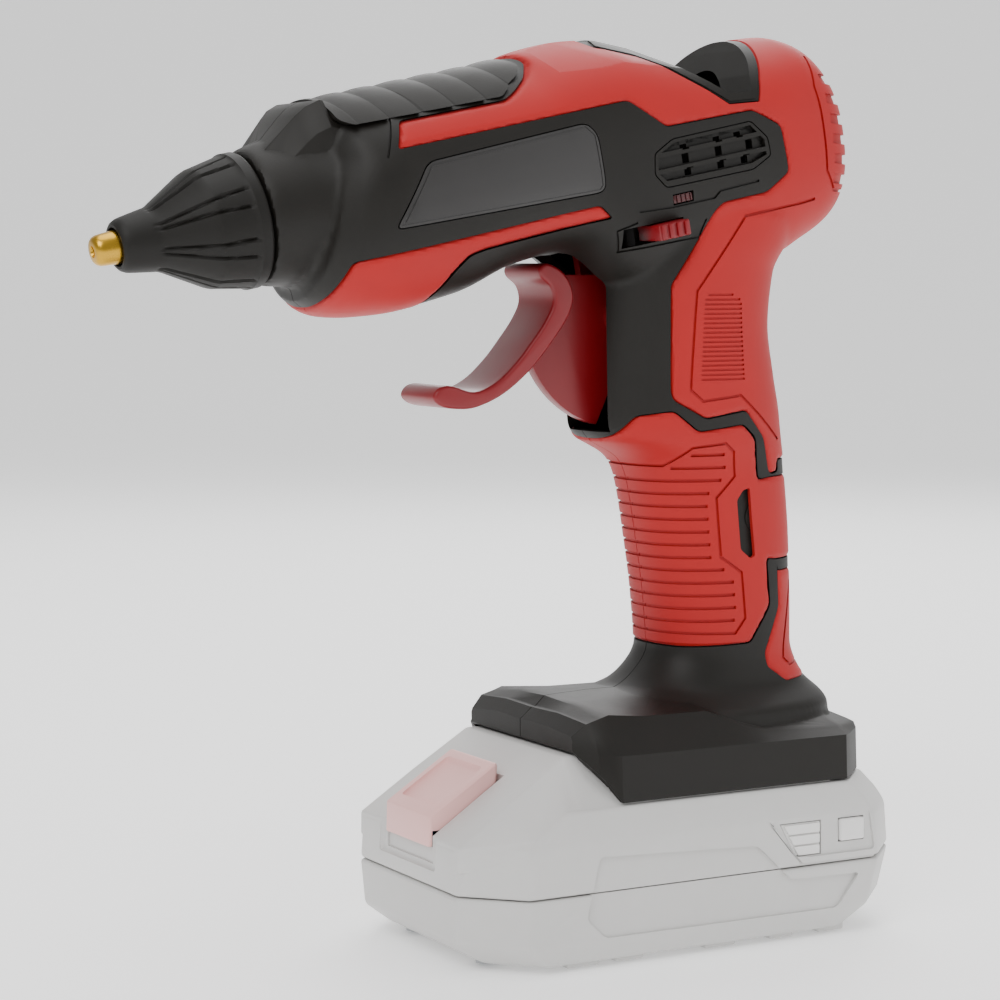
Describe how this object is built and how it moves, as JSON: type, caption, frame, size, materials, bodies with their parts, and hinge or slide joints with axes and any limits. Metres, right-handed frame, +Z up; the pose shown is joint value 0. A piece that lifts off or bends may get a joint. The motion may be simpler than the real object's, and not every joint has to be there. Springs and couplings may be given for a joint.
{
  "type": "glue gun",
  "caption": "Cordless hot-melt glue gun with a brass nozzle, finger trigger, ribbed grip, rear stick inlet and a slide-on battery pack.",
  "frame": {"origin": "middle of the battery pack's underside", "axes": "+Z up as the tool stands on its pack, nozzle towards -X, the tool's left-hand side is -Y"},
  "size_m": [0.2044, 0.076, 0.2229],
  "materials": {
    "black_plastic": "satin",
    "red_soft_grip": "matte",
    "red_trigger_plastic": "satin",
    "brass": "machined",
    "aluminium": "cast",
    "steel": "plated",
    "black_rubber": "matte",
    "silicone": "matte",
    "ceramic": "matte",
    "board": "satin",
    "pale_grey_plastic": "satin",
    "pale_red_plastic": "satin",
    "cell_wrap": "shrink film",
    "red_lens": "gloss"
  },
  "bodies": {
    "tool": {"belly_panel_left": "red_soft_grip", "belly_panel_right": "red_soft_grip", "chamber_holder": "ceramic", "chamber_sleeve": "silicone", "circuit_board": "board", "grip_left": "red_soft_grip", "grip_right": "red_soft_grip", "heater": "ceramic", "heater_clamp": "steel", "heel_pad_left": "red_soft_grip", "heel_pad_right": "red_soft_grip", "housing_left": "black_plastic", "housing_right": "black_plastic", "housing_screw_1": "steel", "housing_screw_2": "steel", "housing_screw_3": "steel", "housing_screw_4": "steel", "housing_screw_5": "steel", "housing_screw_6": "steel", "housing_screw_7": "steel", "housing_screw_8": "steel", "inlet_liner": "black_plastic", "label_plate_left": "black_plastic", "label_plate_right": "black_plastic", "led_lens": "red_lens", "melt_chamber": "aluminium", "nozzle_boot": "black_rubber", "nozzle_tip": "brass", "return_spring": "steel", "rib_pad": "black_plastic", "switch_body": "black_plastic", "terminal_block": "black_plastic", "trigger_pin": "steel", "upper_panel_left": "red_soft_grip", "upper_panel_right": "red_soft_grip", "vent_grille_left": "black_plastic", "vent_grille_right": "black_plastic"},
    "trigger": {"trigger": "red_trigger_plastic"},
    "feed": {"feed_carriage": "black_plastic"},
    "jaw": {"feed_jaw": "steel"},
    "knob": {"switch_knob": "red_trigger_plastic"},
    "pack": {"pack_base": "pale_grey_plastic", "pack_top": "pale_grey_plastic", "pack_board": "board", "pack_spring": "steel", "charge_gauge": "pale_grey_plastic", "cell_1": "cell_wrap", "cell_2": "cell_wrap", "cell_3": "cell_wrap", "cell_4": "cell_wrap", "cell_5": "cell_wrap", "pack_screw_1": "steel", "pack_screw_2": "steel", "pack_screw_3": "steel", "pack_screw_4": "steel"},
    "latch": {"pack_button": "pale_red_plastic"},
    "gauge_button": {"charge_button": "pale_grey_plastic"}
  },
  "joints": [
    {"name": "trigger_squeeze", "type": "hinge", "parent": "tool", "child": "trigger", "pos_m": [-0.002, 0, 0.153], "axis": [0, -1, 0], "range_deg": [0, 24], "stiffness_Nm_per_rad": 0.8, "springref_deg": -8.59},
    {"name": "feed_slide", "type": "slide", "parent": "tool", "child": "feed", "axis": [-0.9806, 0, -0.196], "range_m": [0, 0.0131], "deforming": ["return_spring"]},
    {"name": "jaw_bite", "type": "hinge", "parent": "feed", "child": "jaw", "pos_m": [-0.01713, 0, 0.18072], "axis": [0, -1, 0], "range_deg": [0, 6.2]},
    {"name": "power_switch", "type": "slide", "parent": "tool", "child": "knob", "axis": [-0.9806, 0, -0.196], "range_m": [0, 0.0065]},
    {"name": "pack_slide", "type": "slide", "parent": "tool", "child": "pack", "axis": [-1, 0, 0], "range_m": [0, 0.09]},
    {"name": "latch_press", "type": "slide", "parent": "pack", "child": "latch", "axis": [0, 0, -1], "range_m": [0, 0.0035], "stiffness_N_per_m": 800, "springref_m": -0.0015, "deforming": ["pack_spring"]},
    {"name": "gauge_press", "type": "slide", "parent": "pack", "child": "gauge_button", "axis": [0, 1, 0], "range_m": [0, 0.0008], "stiffness_N_per_m": 600, "springref_m": -0.0005}
  ],
  "couplings": [
    {"joint": "feed_slide", "follows": "trigger_squeeze", "m_per_rad": 0.030976},
    {"joint": "jaw_bite", "follows": "trigger_squeeze", "ratio": 0.25}
  ]
}
